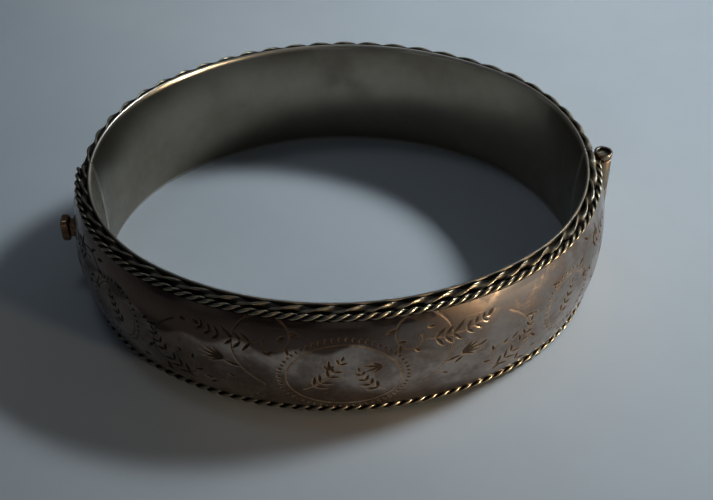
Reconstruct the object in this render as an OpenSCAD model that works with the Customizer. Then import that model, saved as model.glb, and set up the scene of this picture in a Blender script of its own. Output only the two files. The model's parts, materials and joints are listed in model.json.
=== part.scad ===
// Hinged oval bangle: a domed front half and a flatter back half, both hollow, joined by a barrel
// hinge on +X and closed on -X by a folded spring tongue that a thumb button releases.
// The front faces -Y. Z = 0 is the plane that the bangle rests on, and the origin is the centre of
// the wrist opening on that plane. In every section, "out" is the distance outwards from the inner
// edge of the rim, and "up" is the height above the base.

/* [Wrist opening] */
// Inner width at the rim, from hinge to catch
inner_w = 59; // [52:0.1:74]
// Inner depth at the rim, from front to back
inner_d = 50.2; // [40:0.1:51.6]
// Height of the band
band_h = 15.6; // [12.5:0.1:20]

/* [Sheet metal] */
// Thickness of the inner walls
liner_t = 0.35; // [0.25:0.01:0.45]
// How far the inner walls swell towards the wrist at mid-height
comfort = 0.6; // [0.2:0.05:0.8]
// Thickness of the outer walls
shell_t = 0.4; // [0.25:0.01:0.5]
// Outermost face of the front half, out from the rim's inner edge
front_bulge = 2.9; // [2.8:0.05:3.6]
// Outermost face of the back half, out from the rim's inner edge
back_bulge = 1.9; // [1.6:0.05:2.4]
// Thickness of the plates that close the hollow halves
plate_t = 0.5; // [0.3:0.05:0.7]

/* [Border wires] */
// Diameter of the coarse twisted wire along every edge
twist_d = 0.85; // [0.6:0.05:1]
// Diameter of the fine rope wire that lies outside it on the front half
rope_d = 0.8; // [0.6:0.05:0.9]
// Angle below the horizontal at which the fine rope lies against the coarse wire
rope_lean = 27; // [15:1:40]

/* [Hinge] */
// Distance of the hinge axis out from the rim's inner edge
hinge_out = 2.4; // [2.3:0.05:2.8]
// Outer diameter of the hinge tubes
barrel_d = 2.1; // [1.7:0.05:2.2]
// Bore of the hinge tubes
bore_d = 1.5; // [1.1:0.02:1.56]
// Diameter of the hinge pin
pin_d = 1.44; // [1.04:0.02:1.5]
// Length of the short tubes at the top and bottom of the hinge
end_knuckle_h = 0.7; // [0.5:0.1:1.6]
// Length of the two tubes that belong to the front half
front_knuckle_h = 4.6; // [3:0.1:4.8]
// Gap between neighbouring hinge tubes
knuckle_gap = 0.16; // [0.08:0.01:0.2]
// How far the pin's ends lie below the tubes' ends
pin_recess = 0.35; // [0.1:0.05:0.6]

/* [Catch] */
// Gap between the two closed halves
seam_gap = 0.2; // [0.1:0.02:0.3]
// Width of the tongue, along the band's height
tongue_w = 7; // [5:0.1:7.6]
// How far the tongue reaches into the front half
tongue_l = 6.5; // [5.5:0.1:8]
// Thickness of the tongue's fixed limb
blade_t = 0.35; // [0.25:0.01:0.4]
// Inner face of the fixed limb, out from the rim's inner edge
blade_out = 0.55; // [0.45:0.05:0.6]
// Thickness of the tongue's springing limb
leaf_t = 0.3; // [0.2:0.01:0.35]
// How far the springing limb rises from the fold to its free end
leaf_rise = 0.75; // [0.65:0.05:0.8]
// How far the free end catches behind the mouth plate
latch_depth = 0.45; // [0.35:0.01:0.5]

/* [Thumb button] */
// Height of the button
button_h = 3.1; // [2.4:0.1:3.6]
// Length of the button along the band
button_l = 2; // [1.6:0.1:2.4]
// Thickness of the button
button_t = 1.15; // [0.8:0.05:1.5]
// Inner face of the button, out from the rim's inner edge
button_out = 3.3; // [3.2:0.05:3.8]
// Distance of the button from the seam
button_s = 2.7; // [2.2:0.1:3.4]
// Height of the stem that carries the button
stem_h = 1.9; // [1.4:0.1:2.2]
// Length of the stem along the band
stem_l = 1.2; // [0.9:0.1:1.5]

/* [Hidden] */

silver = [0.72, 0.70, 0.66];
dark_silver = [0.50, 0.48, 0.44];
warm_silver = [0.66, 0.60, 0.57];
copper_tone = [0.62, 0.48, 0.38];

solder = 0.02;          // film between pieces that are soldered together
catch_play = 0.15;      // play round the tongue in its slot and box
hinge_play = 0.1;       // play between a hinge tube and the other half
past = 1;               // cuts start and end this far outside what they cut
reach = 8;              // bands and half-planes of a section reach this far across it

// The opening's outline is a four-centre oval: an end arc at each end and a long arc along the front
// and the back. The arcs' centres are the corners of 3-4-5 triangles, so the arcs meet smoothly on
// lines that rise 4 for every 3 along.
half_w = inner_w / 2;
half_d = inner_d / 2;
oval_step = (half_w - half_d) / 2;
end_x = 3 * oval_step;                  // centre of each end arc, along X
long_y = 4 * oval_step;                 // centre of each long arc, beyond the middle
end_r = half_w - end_x;
long_r = half_d + long_y;
meet = atan2(4, 3);                     // direction in which the arcs meet
over = 3;                               // the arcs are swept this far too long, then cut
wedge_k = 16;                           // the cutting wedges reach this many 3-4-5 steps
wedge_top = 4 * wedge_k - long_y;

mid = band_h / 2;
twist_r = twist_d / 2;
rope_r = rope_d / 2;
twist_out = liner_t + solder + twist_r;
wire_reach = twist_r + rope_r + solder;
rope_out = twist_out + wire_reach * cos(rope_lean);
rope_up = twist_r + wire_reach * sin(rope_lean);    // height of the lower rope's centre
ledge_up = twist_d + solder;            // ledge that the coarse wire is soldered to
step_up = rope_up + rope_r + solder;    // ledge that the fine rope is soldered to
step_out = rope_out - rope_r - 2 * solder;
dome_out = rope_out + rope_r / 2;       // where the front dome leaves the rope's ledge
back_dome_out = twist_out + twist_r;    // where the back dome leaves the coarse wire's ledge

barrel_r = barrel_d / 2;
clear_r = barrel_r + hinge_play;
hinge_x = half_w + hinge_out;
hinge_end = 0.1;                        // the hinge stops this short of the band's edges
front_low = hinge_end + end_knuckle_h + knuckle_gap;
front_high = band_h - front_low - front_knuckle_h;
middle_low = front_low + front_knuckle_h + knuckle_gap;
middle_h = band_h - 2 * middle_low;

// The tongue is curved about the hinge axis, so that it slides out along itself.
half_seam = seam_gap / 2;
tongue_low = mid - tongue_w / 2;
slot_low = tongue_low - catch_play;
slot_h = tongue_w + 2 * catch_play;
cheek_t = 0.4;                          // wall of the box that the tongue slides into
fold_r = 0.36;                          // the rounded fold at the tongue's tip
fold_sink = 0.03;                       // how far the fold stands inwards of the fixed limb
eye_proud = 0.02;                       // how far the springing limb's eye stands proud of it
limb_gap = 0.05;                        // gap between the tongue's two limbs at the fold
free_play = 0.12;                       // play between the free end and the mouth plate
stem_play = 0.45;                       // room for the stem to swing as the button is pressed
button_edge_r = 0.35;                   // rounding of the button's edges
pivot_back = 0.55;                      // the springing limb turns this far before the fold
pivot_out = blade_out + blade_t + limb_gap + leaf_t / 2;
leaf_end = half_seam + plate_t + free_play;
pivot_at = tongue_point(pivot_out, tongue_l - pivot_back);
free_at = tongue_point(pivot_out + leaf_rise, leaf_end);
leaf_l = norm(free_at - pivot_at);
leaf_turn = atan2(free_at[1] - pivot_at[1], free_at[0] - pivot_at[0]);
lip_out = pivot_out + leaf_rise + leaf_t / 2 - latch_depth;
notch_h = stem_h + 2 * catch_play;
notch_l = button_s + stem_l / 2 + stem_play;

$fn = 64;

// The point at a distance out from the rim's edge and s along the tongue's own arc.
function tongue_point(out, s) =
    let (r = hinge_x + half_w + out, turn = s / r * 180 / PI)
    [hinge_x - r * cos(turn), -r * sin(turn)];

// The angle that a distance along the band takes at the end arcs.
function end_turn(distance) = asin(distance / end_r);

// Radius of the arc through a chord of half-length half that swells by rise.
function bow_r(half, rise) = (half * half + rise * rise) / (2 * rise);

// ---------- sections, with X out and Y up ----------

// Everything inwards of an arc that swells from chord_out to top_out about mid-height.
// Inset takes the arc in, for the inner face of a sheet.
module inside_bow(chord_out, top_out, half, inset = 0) {
    r = bow_r(half, top_out - chord_out);
    translate([top_out - r, mid])
        circle(r - inset, $fn = 360);
}

// Everything outwards of the liner's inner face, moved out by a distance.
module outside_liner(distance) {
    r = bow_r(mid, comfort);
    translate([r - comfort + distance, mid])
        circle(r, $fn = 720);
}

// A band of heights, from low to the same distance below the top edge.
module heights(low, out = reach) {
    translate([-reach, low])
        square([reach + out, band_h - 2 * low]);
}

module liner_section() {
    difference() {
        intersection() {
            outside_liner(0);
            heights(0, 2 * liner_t);
        }
        outside_liner(liner_t);
    }
}

module front_region(inset, liner_gap) {
    intersection() {
        union() {
            heights(ledge_up + inset, step_out - inset);
            intersection() {
                inside_bow(dome_out, front_bulge, mid - step_up, inset);
                heights(step_up + inset);
            }
        }
        outside_liner(liner_t + liner_gap);
    }
}

module back_region(inset, liner_gap) {
    intersection() {
        inside_bow(back_dome_out, back_bulge, mid - ledge_up, inset);
        heights(ledge_up + inset);
        outside_liner(liner_t + liner_gap);
    }
}

module front_shell_section() {
    difference() {
        front_region(0, solder);
        front_region(shell_t, 0);
    }
}

module back_shell_section() {
    difference() {
        back_region(0, solder);
        back_region(shell_t, 0);
    }
}

module front_plate_section() {
    front_region(shell_t + solder, solder);
}

module back_plate_section() {
    back_region(shell_t + solder, solder);
}

module wire_section(out, up, radius) {
    translate([out, up])
        circle(radius);
}

// ---------- carrying a section round the band (on the back half; the front half is its mirror) ----------

// The end arc at the hinge, between two distances from the split.
module hinge_arc(from, to) {
    translate([end_x, 0, 0])
        rotate_extrude(start = end_turn(from), angle = end_turn(to) - end_turn(from), $fn = 240)
            translate([end_r, 0])
                children();
}

// The end arc at the catch, between two distances from the split.
module catch_arc(from, to) {
    mirror([1, 0, 0])
        hinge_arc(from, to)
            children();
}

// The whole end arc at the hinge, from a distance from the split to the line where the arcs meet.
module end_band(stop) {
    intersection() {
        translate([end_x, 0, 0])
            rotate_extrude(start = end_turn(stop), angle = meet + over - end_turn(stop), $fn = 240)
                translate([end_r, 0])
                    children();
        translate([0, 0, -past])
            linear_extrude(band_h + 2 * past)
                polygon([
                    [0, -long_y],
                    [3 * wedge_k, wedge_top],
                    [6 * wedge_k, wedge_top],
                    [6 * wedge_k, -long_y]
                ]);
    }
}

// The long arc, between the two lines where the arcs meet.
module long_band() {
    intersection() {
        translate([0, -long_y, 0])
            rotate_extrude(start = meet - over, angle = 180 - 2 * (meet - over), $fn = 360)
                translate([long_r, 0])
                    children();
        translate([0, 0, -past])
            linear_extrude(band_h + 2 * past)
                polygon([
                    [0, -long_y],
                    [3 * wedge_k, wedge_top],
                    [-3 * wedge_k, wedge_top]
                ]);
    }
}

// The whole half, stopping short of the split at the hinge and at the catch.
module half_band(hinge_stop = half_seam, catch_stop = half_seam) {
    union() {
        end_band(hinge_stop)
            children();
        long_band()
            children();
        mirror([1, 0, 0])
            end_band(catch_stop)
                children();
    }
}

module front() {
    mirror([0, 1, 0])
        children();
}

// How far from the split a wire has to stop, to stay clear of the hinge.
function past_hinge(wire_edge) =
    max(half_seam, sqrt(max(0, pow(clear_r, 2) - pow(hinge_out - wire_edge, 2))) + solder);

// The upright cylinder that the hinge turns in.
module hinge_room() {
    translate([hinge_x, 0, -past])
        cylinder(r = clear_r, h = band_h + 2 * past);
}

// ---------- front half ----------

// The way that the button's stem takes out of the front half, open at the seam.
module stem_way() {
    translate([-half_w - front_bulge - past, -notch_l, mid - notch_h / 2])
        cube([front_bulge + past - lip_out + solder, notch_l + past, notch_h]);
}

module front_shell() {
    color(warm_silver)
        difference() {
            front()
                half_band()
                    front_shell_section();
            hinge_room();
            stem_way();
        }
}

module front_liner() {
    color(silver)
        front()
            half_band()
                liner_section();
}

module front_twist(up) {
    color(dark_silver)
        front()
            half_band(past_hinge(twist_out + twist_r))
                wire_section(twist_out, up, twist_r);
}

module front_rope(up) {
    color(dark_silver)
        front()
            half_band(past_hinge(rope_out + rope_r))
                wire_section(rope_out, up, rope_r);
}

module front_top_twist() {
    front_twist(band_h - twist_r);
}

module front_bottom_twist() {
    front_twist(twist_r);
}

module front_top_rope() {
    front_rope(band_h - rope_up);
}

module front_bottom_rope() {
    front_rope(rope_up);
}

module front_hinge_end_plate() {
    color(silver)
        difference() {
            front()
                hinge_arc(half_seam, half_seam + plate_t)
                    front_plate_section();
            hinge_room();
        }
}

module front_catch_mouth_plate() {
    slot_in = blade_out - catch_play;
    color(silver)
        difference() {
            front()
                catch_arc(half_seam, half_seam + plate_t)
                    front_plate_section();
            translate([-half_w - lip_out, -plate_t - past, slot_low])
                cube([lip_out - slot_in, plate_t + 2 * past, slot_h]);
            stem_way();
        }
}

// Two cheeks that guide the tongue's edges, joined by a wall beyond its tip.
module catch_box() {
    box_from = half_seam + plate_t + solder;
    wall_from = tongue_l + fold_r + 2 * catch_play;
    color(silver)
        front() {
            for (low = [slot_low - cheek_t, slot_low + slot_h])
                catch_arc(box_from, wall_from + cheek_t)
                    intersection() {
                        front_plate_section();
                        translate([-reach, low])
                            square([2 * reach, cheek_t]);
                    }
            catch_arc(wall_from, wall_from + cheek_t)
                intersection() {
                    front_plate_section();
                    heights(slot_low - cheek_t);
                }
        }
}

// ---------- hinge ----------

// A hinge tube with the web that joins it to the end of the back half.
module knuckle(low, height) {
    color(silver)
        translate([hinge_x, 0, low])
            difference() {
                union() {
                    cylinder(d = barrel_d, h = height);
                    intersection() {
                        cylinder(r = clear_r - solder, h = height);
                        translate([-clear_r, half_seam, 0])
                            cube([clear_r, clear_r, height]);
                    }
                }
                translate([0, 0, -past])
                    cylinder(d = bore_d, h = height + 2 * past);
            }
}

module front_knuckle_lower() {
    front()
        knuckle(front_low, front_knuckle_h);
}

module front_knuckle_upper() {
    front()
        knuckle(front_high, front_knuckle_h);
}

module back_knuckle_bottom() {
    knuckle(hinge_end, end_knuckle_h);
}

module back_knuckle_middle() {
    knuckle(middle_low, middle_h);
}

module back_knuckle_top() {
    knuckle(band_h - hinge_end - end_knuckle_h, end_knuckle_h);
}

module hinge_pin() {
    color(dark_silver)
        translate([hinge_x, 0, hinge_end + pin_recess])
            cylinder(d = pin_d, h = band_h - 2 * (hinge_end + pin_recess));
}

// ---------- back half ----------

module back_shell() {
    color(silver)
        difference() {
            half_band()
                back_shell_section();
            hinge_room();
        }
}

module back_liner() {
    color(silver)
        half_band()
            liner_section();
}

module back_twist(up) {
    color(dark_silver)
        half_band(past_hinge(twist_out + twist_r))
            wire_section(twist_out, up, twist_r);
}

module back_top_twist() {
    back_twist(band_h - twist_r);
}

module back_bottom_twist() {
    back_twist(twist_r);
}

module back_hinge_end_plate() {
    color(silver)
        difference() {
            hinge_arc(half_seam, half_seam + plate_t)
                back_plate_section();
            hinge_room();
        }
}

module back_catch_end_plate() {
    color(silver)
        catch_arc(half_seam, half_seam + plate_t)
            back_plate_section();
}

// ---------- tongue and button ----------

// The fixed limb, from the back half's end plate to the rounded fold at the tip.
module tongue_blade() {
    blade_r = hinge_x + half_w + blade_out;
    root_turn = (half_seam - solder) / blade_r * 180 / PI;
    tip_turn = tongue_l / blade_r * 180 / PI;
    fold_at = tongue_point(blade_out + fold_r - fold_sink, tongue_l);
    color(silver)
        union() {
            translate([hinge_x, 0, tongue_low])
                rotate_extrude(start = 180 - root_turn, angle = root_turn + tip_turn, $fn = 360)
                    translate([blade_r, 0])
                        square([blade_t, tongue_w]);
            translate([fold_at[0], fold_at[1], tongue_low])
                cylinder(r = fold_r, h = tongue_w);
        }
}

// Places its children at the springing limb's pivot, with X along the limb and Y outwards.
module at_pivot(height) {
    translate([pivot_at[0], pivot_at[1], height])
        rotate([0, 0, leaf_turn])
            children();
}

module spring_leaf() {
    color(silver)
        at_pivot(tongue_low)
            union() {
                cylinder(r = leaf_t / 2 + eye_proud, h = tongue_w);
                translate([0, -leaf_t / 2, 0])
                    cube([leaf_l, leaf_t, tongue_w]);
            }
}

module button_stem() {
    color(dark_silver)
        difference() {
            translate([-half_w - button_out + solder, -button_s - stem_l / 2, mid - stem_h / 2])
                cube([button_out - solder - pivot_out, stem_l, stem_h]);
            at_pivot(0)
                translate([-tongue_l, -tongue_l, 0])
                    cube([3 * tongue_l, tongue_l + leaf_t / 2 + solder, band_h]);
        }
}

module thumb_button() {
    color(copper_tone)
        translate([-half_w - button_out - button_t / 2, -button_s, mid])
            hull()
                for (x = [-1, 1], y = [-1, 1], z = [-1, 1])
                    translate([
                        x * (button_t / 2 - button_edge_r),
                        y * (button_l / 2 - button_edge_r),
                        z * (button_h / 2 - button_edge_r)
                    ])
                        sphere(button_edge_r, $fn = 16);
}

front_shell();
front_liner();
front_top_twist();
front_bottom_twist();
front_top_rope();
front_bottom_rope();
front_hinge_end_plate();
front_catch_mouth_plate();
catch_box();
front_knuckle_upper();
front_knuckle_lower();
back_shell();
back_liner();
back_top_twist();
back_bottom_twist();
back_hinge_end_plate();
back_catch_end_plate();
back_knuckle_top();
back_knuckle_middle();
back_knuckle_bottom();
hinge_pin();
tongue_blade();
spring_leaf();
button_stem();
thumb_button();
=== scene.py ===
import json
import math
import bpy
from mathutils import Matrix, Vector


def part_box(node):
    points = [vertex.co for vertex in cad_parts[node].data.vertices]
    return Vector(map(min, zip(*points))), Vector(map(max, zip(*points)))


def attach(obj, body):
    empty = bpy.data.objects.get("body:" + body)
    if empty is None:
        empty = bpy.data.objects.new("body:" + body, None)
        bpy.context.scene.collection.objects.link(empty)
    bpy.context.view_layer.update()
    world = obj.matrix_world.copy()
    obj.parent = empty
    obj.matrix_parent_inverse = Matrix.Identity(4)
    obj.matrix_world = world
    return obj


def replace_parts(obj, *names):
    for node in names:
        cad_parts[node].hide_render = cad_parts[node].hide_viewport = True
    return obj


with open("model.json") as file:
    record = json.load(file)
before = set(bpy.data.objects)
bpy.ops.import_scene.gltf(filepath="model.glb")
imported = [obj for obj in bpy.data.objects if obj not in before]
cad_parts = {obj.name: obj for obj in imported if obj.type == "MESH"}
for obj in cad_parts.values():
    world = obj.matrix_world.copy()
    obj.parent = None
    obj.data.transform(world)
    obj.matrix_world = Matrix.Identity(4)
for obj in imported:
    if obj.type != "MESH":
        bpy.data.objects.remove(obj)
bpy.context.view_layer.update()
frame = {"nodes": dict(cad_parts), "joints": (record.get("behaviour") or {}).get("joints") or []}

from types import SimpleNamespace

import bpy
import numpy as np
from bpy.props import FloatProperty, FloatVectorProperty, IntProperty, PointerProperty
from bpy.types import Operator, Panel, PropertyGroup
from mathutils import Matrix, Vector

bl_info = {
    "name": "Hinged bangle",
    "version": (1, 0, 0),
    "blender": (4, 5, 0),
    "location": "3D View > Sidebar > Bangle",
    "description": "Builds the looks of a hinged, engraved silver bangle round its packed frame",
    "category": "Object",
}

MM = 0.001
MEET = math.atan2(4, 3)      # direction in which an end arc of the oval meets a long arc
FRONT, BACK = -1, 1          # side of the band that a half lies on, along Y
SOFT_EDGE = 0.09 * MM        # how far filed edges are rounded off
PIN_PLAY = 0.03 * MM         # room between the hinge pin and a tube's bore

# How fine the grids are: stations along the band or the wire, then rows or sides round a section.
FRONT_GRID = (776, 104)
BACK_GRID = (420, 56)
LINER_GRID = (460, 34)
STRIP_GRID = (900, 18)
STRAND_GRID = (900, 10)
TUBE_SIDES = 96
PIN_SIDES = 48
BUTTON_GRID = (40, 80)


def length(name, description, default, **more):
    """A size in metres, given in millimetres."""
    return FloatProperty(
        name=name, description=description, default=default * MM, unit="LENGTH", precision=5, **more)


def colour(name, description, default):
    """A plain colour, as linear red, green and blue."""
    return FloatVectorProperty(
        name=name, description=description, default=default, subtype="COLOR", size=3, min=0, max=1)


class BangleSheet(PropertyGroup):
    rim_wall: length("Rim wall", "Thickness of the inner walls at the rim", 0.35)
    rim_round: length("Rim rounding", "Radius worn onto the rim's edges", 0.16)
    comfort: length("Comfort swell", "How far the inner walls swell towards the wrist", 0.6)
    shell_wall: length("Outer wall", "Thickness of the outer walls", 0.4)
    solder: length("Solder film", "Film between soldered pieces", 0.02)
    seam: length("Seam", "Gap between the two closed halves", 0.2)
    hinge_play: length("Hinge play", "Play between a hinge tube and the other half", 0.1)
    notch: length("Button notch", "How far the notch for the button's stem reaches from the seam", 3.75)
    notch_h: length("Notch height", "Height of the notch for the button's stem", 2.2)
    dents: length("Dents", "Depth of the soft dents that wear has left in the sheet", 0.022)


class BangleWires(PropertyGroup):
    strip_t: length("Strip thickness", "Thickness of the flat strip that is twisted into coarse wire", 0.24)
    strip_turn: length("Strip turn", "Length in which the flat strip turns once", 6.7)
    rope_turn: length("Rope turn", "Length in which the fine rope's strands turn once", 2.9)


class BangleEngraving(PropertyGroup):
    depth: length("Cut depth", "Depth of the deepest leaf cuts", 0.11)
    medallion_w: length("Medallion width", "Width of the centre medallion", 13.4)
    medallion_h: length("Medallion height", "Height of the centre medallion", 10.2)
    ticks: IntProperty(
        name="Medallion ticks", description="Short cuts round the centre medallion", default=58,
        min=12, max=120)


class BangleFinish(PropertyGroup):
    silver: colour("Silver", "Worn silver where it is rubbed bright", (0.37, 0.305, 0.262))
    tarnish: colour("Tarnish", "Warm film of tarnish over the silver", (0.165, 0.118, 0.09))
    olive: colour("Grey tarnish", "Grey-green film inside the band", (0.34, 0.295, 0.225))
    patina: colour("Patina", "Dark deposit in the hollows", (0.010, 0.007, 0.005))
    rubbed: colour("Rubbed silver", "Edges that wear keeps bright", (0.80, 0.75, 0.66))
    wire: colour("Wire", "Worn silver of the wires", (0.33, 0.30, 0.225))
    # Painted dark reflection: this colour, though labelled deep tarnish, darkens the band below the upper
    # rope to stand in for the dark room that the dome reflects there.
    deep: colour("Deep tarnish", "Brown tarnish that is left along the rope", (0.085, 0.055, 0.042))
    copper: colour("Coppery tarnish", "Brown film on the button", (0.42, 0.25, 0.15))


class BangleStage(PropertyGroup):
    camera_at: FloatVectorProperty(
        name="Camera place", description="Where the camera stands", subtype="TRANSLATION", size=3,
        default=(-0.1 * MM, -115.1 * MM, 102.1 * MM))
    camera_aim: FloatVectorProperty(
        name="Camera aim", description="The point that the camera looks at", subtype="TRANSLATION", size=3,
        default=(1.55 * MM, -4.35 * MM, 7.8 * MM))
    camera_roll: FloatProperty(
        name="Camera roll", description="Tilt of the camera about its own line of sight", subtype="ANGLE",
        default=math.radians(-0.8))
    lens: FloatProperty(
        name="Lens", description="Focal length in millimetres", default=60.56, min=20, max=200)
    shift_x: FloatProperty(
        name="Shift across", description="Lens shift across, in frame widths", default=0.005)
    shift_y: FloatProperty(
        name="Shift up", description="Lens shift up, in frame widths", default=-0.029)
    floor: colour("Floor", "Colour of the floor", (0.50, 0.54, 0.58))


def sheet():
    """The sheet metal's settings."""
    return bpy.context.scene.bangle_sheet


def finish():
    """The finishes' settings."""
    return bpy.context.scene.bangle_finish


# ---------- the band's outline ----------


def read_band():
    """The band's driving sizes in metres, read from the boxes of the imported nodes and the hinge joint.

    The opening's outline is a four-centre oval. Its arcs' centres are the corners of 3-4-5 triangles, so
    one step, a quarter of the difference between its width and its depth, places them all."""
    s = sheet()
    liner, strip, rope, front, back, tube = (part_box(name) for name in (
        "front_liner", "front_bottom_twist", "front_bottom_rope", "front_shell", "back_shell",
        "back_knuckle_middle"))
    half_w = liner[1].x - s.rim_wall
    half_d = -liner[0].y - s.rim_wall
    step = (half_w - half_d) / 2
    strip_r = (strip[1].z - strip[0].z) / 2
    rope_r = (rope[1].z - rope[0].z) / 2
    hinge = next(j for j in frame["joints"] if j["name"] == "bangle_hinge")["pos_m"][0]
    return SimpleNamespace(
        height=liner[1].z, mid=liner[1].z / 2, half_w=half_w, half_d=half_d,
        end_x=3 * step, end_r=half_w - 3 * step, long_y=4 * step, long_r=half_d + 4 * step,
        strip_r=strip_r, strip_out=-strip[0].y - half_d - strip_r,
        rope_r=rope_r, rope_out=-rope[0].y - half_d - rope_r, rope_up=(rope[0].z + rope[1].z) / 2,
        front_out=-front[0].y - half_d, front_low=front[0].z,
        back_out=back[1].y - half_d, back_low=back[0].z,
        hinge_x=hinge, hinge_out=hinge - half_w, barrel_r=tube[1].x - hinge)


def oval(b, turn, out, side):
    """X and Y of points on the band's outline.

    turn is the direction that the outline faces, from 0 at the catch to pi at the hinge. The point is the
    centre of the arc that covers that direction plus the arc's radius and out, along that direction."""
    at_catch, at_hinge = turn < MEET, turn > math.pi - MEET
    ends = at_catch | at_hinge
    centre_x = np.where(at_catch, -b.end_x, np.where(at_hinge, b.end_x, 0))
    centre_y = np.where(ends, 0, -side * b.long_y)
    radius = np.where(ends, b.end_r, b.long_r) + out
    return centre_x - radius * np.cos(turn), centre_y + side * radius * np.sin(turn)


def arc_lengths(b, out):
    """Distances from the catch at which the oval's arcs end, on a curve that lies out beyond the rim."""
    end, long = (b.end_r + out) * MEET, (b.long_r + out) * (math.pi - 2 * MEET)
    return np.array([0, end, end + long, 2 * end + long])


def turn_at(b, distance, out):
    """The turn reached after a distance from the catch, on a curve that lies out beyond the rim."""
    return np.interp(distance, arc_lengths(b, out), [0, MEET, math.pi - MEET, math.pi])


def distance_at(b, turn, out):
    """The distance from the catch at which a turn is reached: the reverse of turn_at."""
    return np.interp(turn, [0, MEET, math.pi - MEET, math.pi], arc_lengths(b, out))


def hinge_stop(b, out):
    """The turn at which a curve that lies out beyond the rim has to end, to leave the hinge its room.

    By the law of cosines, the curve meets the upright cylinder that the hinge turns in where the cosine of
    its angle at the end arc's centre is (R^2 + D^2 - c^2) / 2RD. Elsewhere it ends at the seam."""
    s = sheet()
    reach, far, room = b.end_r + out, b.end_r + b.hinge_out, b.barrel_r + s.hinge_play
    angle = np.arccos(np.clip((reach ** 2 + far ** 2 - room ** 2) / (2 * reach * far), -1, 1))
    return math.pi - np.maximum(np.where(abs(reach - far) < room, angle, 0), s.seam / 2 / b.end_r)


def catch_stop(b):
    """The turn at which everything starts, half a seam from the split at the catch."""
    return math.asin(sheet().seam / 2 / b.end_r)


# ---------- meshes ----------


def add_mesh(name, points, faces, body, material, uv=None, masks=None, sharp=40):
    """Makes a piece from an (n, 3) array of points and a list of (count, corners) arrays of faces.

    uv holds one row per face corner, and masks holds one value per point for each named attribute."""
    corners = np.concatenate([f.ravel() for f in faces])
    counts = np.concatenate([np.full(len(f), f.shape[1]) for f in faces])
    used, corners = np.unique(corners, return_inverse=True)
    points = points[used]
    mesh = bpy.data.meshes.new(name)
    mesh.vertices.add(len(points))
    mesh.vertices.foreach_set("co", points.astype(np.float32).ravel())
    mesh.loops.add(len(corners))
    mesh.loops.foreach_set("vertex_index", corners.astype(np.int32))
    mesh.polygons.add(len(counts))
    starts = np.cumsum(counts) - counts
    mesh.polygons.foreach_set("loop_start", starts.astype(np.int32))
    mesh.update(calc_edges=True)
    if uv is not None:
        layer = mesh.uv_layers.new(name="Surface")
        layer.data.foreach_set("uv", uv.astype(np.float32).ravel())
    for mask, values in (masks or {}).items():
        layer = mesh.attributes.new(mask, "FLOAT", "POINT")
        layer.data.foreach_set("value", values.ravel()[used].astype(np.float32))
    if mesh.validate():
        raise RuntimeError(f"{name} has faces that Blender had to mend")
    face_out(mesh)
    mesh.shade_smooth()
    mesh.set_sharp_from_angle(angle=math.radians(sharp))
    mesh.materials.append(material)
    piece = bpy.data.objects.new(name, mesh)
    bpy.context.scene.collection.objects.link(piece)
    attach(piece, body)
    return piece


def face_out(mesh):
    """Turns a closed mesh's faces outwards: the sum of its triangles' volumes has to be above zero."""
    mesh.calc_loop_triangles()
    triangles = np.empty(3 * len(mesh.loop_triangles), np.int32)
    mesh.loop_triangles.foreach_get("vertices", triangles)
    points = np.empty(3 * len(mesh.vertices), np.float32)
    mesh.vertices.foreach_get("co", points)
    a, b, c = points.reshape(-1, 3)[triangles.reshape(-1, 3)].astype(float).transpose(1, 0, 2)
    if np.einsum("ij,ij->", a, np.cross(b, c)) < 0:
        mesh.flip_normals()


def ring_faces(rings, sides):
    """Quads between neighbouring rings of points, each ring closed on itself, as (rings-1, sides, 4)."""
    i, j = np.meshgrid(np.arange(rings - 1), np.arange(sides), indexing="ij")
    here, beside = i * sides + j, i * sides + (j + 1) % sides
    return np.stack([here, beside, beside + sides, here + sides], -1)


def ring_uv(along, around):
    """UV rows for the quads of ring_faces: along has a value per ring, around one per side and one more."""
    u = np.stack([along[:-1], along[:-1], along[1:], along[1:]], -1)[:, None, :]
    v = np.stack([around[:-1], around[1:], around[1:], around[:-1]], -1)[None, :, :]
    return np.stack(np.broadcast_arrays(u, v), -1)


def add_tube(name, rings, along, body, material, masks=None, sharp=40):
    """A closed tube from an (n, m, 3) array of rings, with its two ends filled.

    Its UV map holds the distance along and the distance round the first ring, both in centimetres."""
    n, m = rings.shape[:2]
    quads = ring_faces(n, m)
    sides = np.linalg.norm(np.roll(rings[n // 2], -1, 0) - rings[n // 2], axis=1)
    around = np.concatenate([[0], np.cumsum(sides)])
    ends = [np.arange(m)[::-1], (n - 1) * m + np.arange(m)]
    uv = [ring_uv(along, around).reshape(-1, 2),
          np.stack([np.full(m, along[0]), around[:m][::-1]], -1),
          np.stack([np.full(m, along[-1]), around[:m]], -1)]
    return add_mesh(name, rings.reshape(-1, 3), [quads.reshape(-1, 4), *(e[None] for e in ends)],
                    body, material, np.concatenate(uv) * 100, masks, sharp)


# ---------- sections, as distances out from the rim's inner edge and heights ----------


def bow(b, edge_out, mid_out, half, count):
    """Out and up of an arc that swells from edge_out to mid_out about mid-height, and its angles."""
    rise = mid_out - edge_out
    radius = (half ** 2 + rise ** 2) / (2 * rise)
    angle = np.linspace(-1, 1, count) * math.asin(half / radius)
    return mid_out - radius + radius * np.cos(angle), b.mid + radius * np.sin(angle), angle


def liner_out(b, up):
    """Inner face of the inner wall: a parabola that swells inwards from the rim by the comfort swell."""
    return -sheet().comfort * (1 - ((up - b.mid) / b.mid) ** 2)


def dents(distance, up, depth, seed):
    """Soft dents: a sum of waves whose lengths, directions and places are drawn once from a seed."""
    rng = np.random.default_rng(seed)
    total = 0
    for wave in np.linspace(5.5, 19, 9) * MM:
        angle, phase = rng.uniform(-0.9, 0.9), rng.uniform(0, 2 * math.pi)
        across = distance * math.cos(angle) + up * math.sin(angle)
        total = total + np.sin(2 * math.pi * across / wave + phase) * wave ** 0.7
    return depth * total / (19 * MM) ** 0.7


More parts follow.
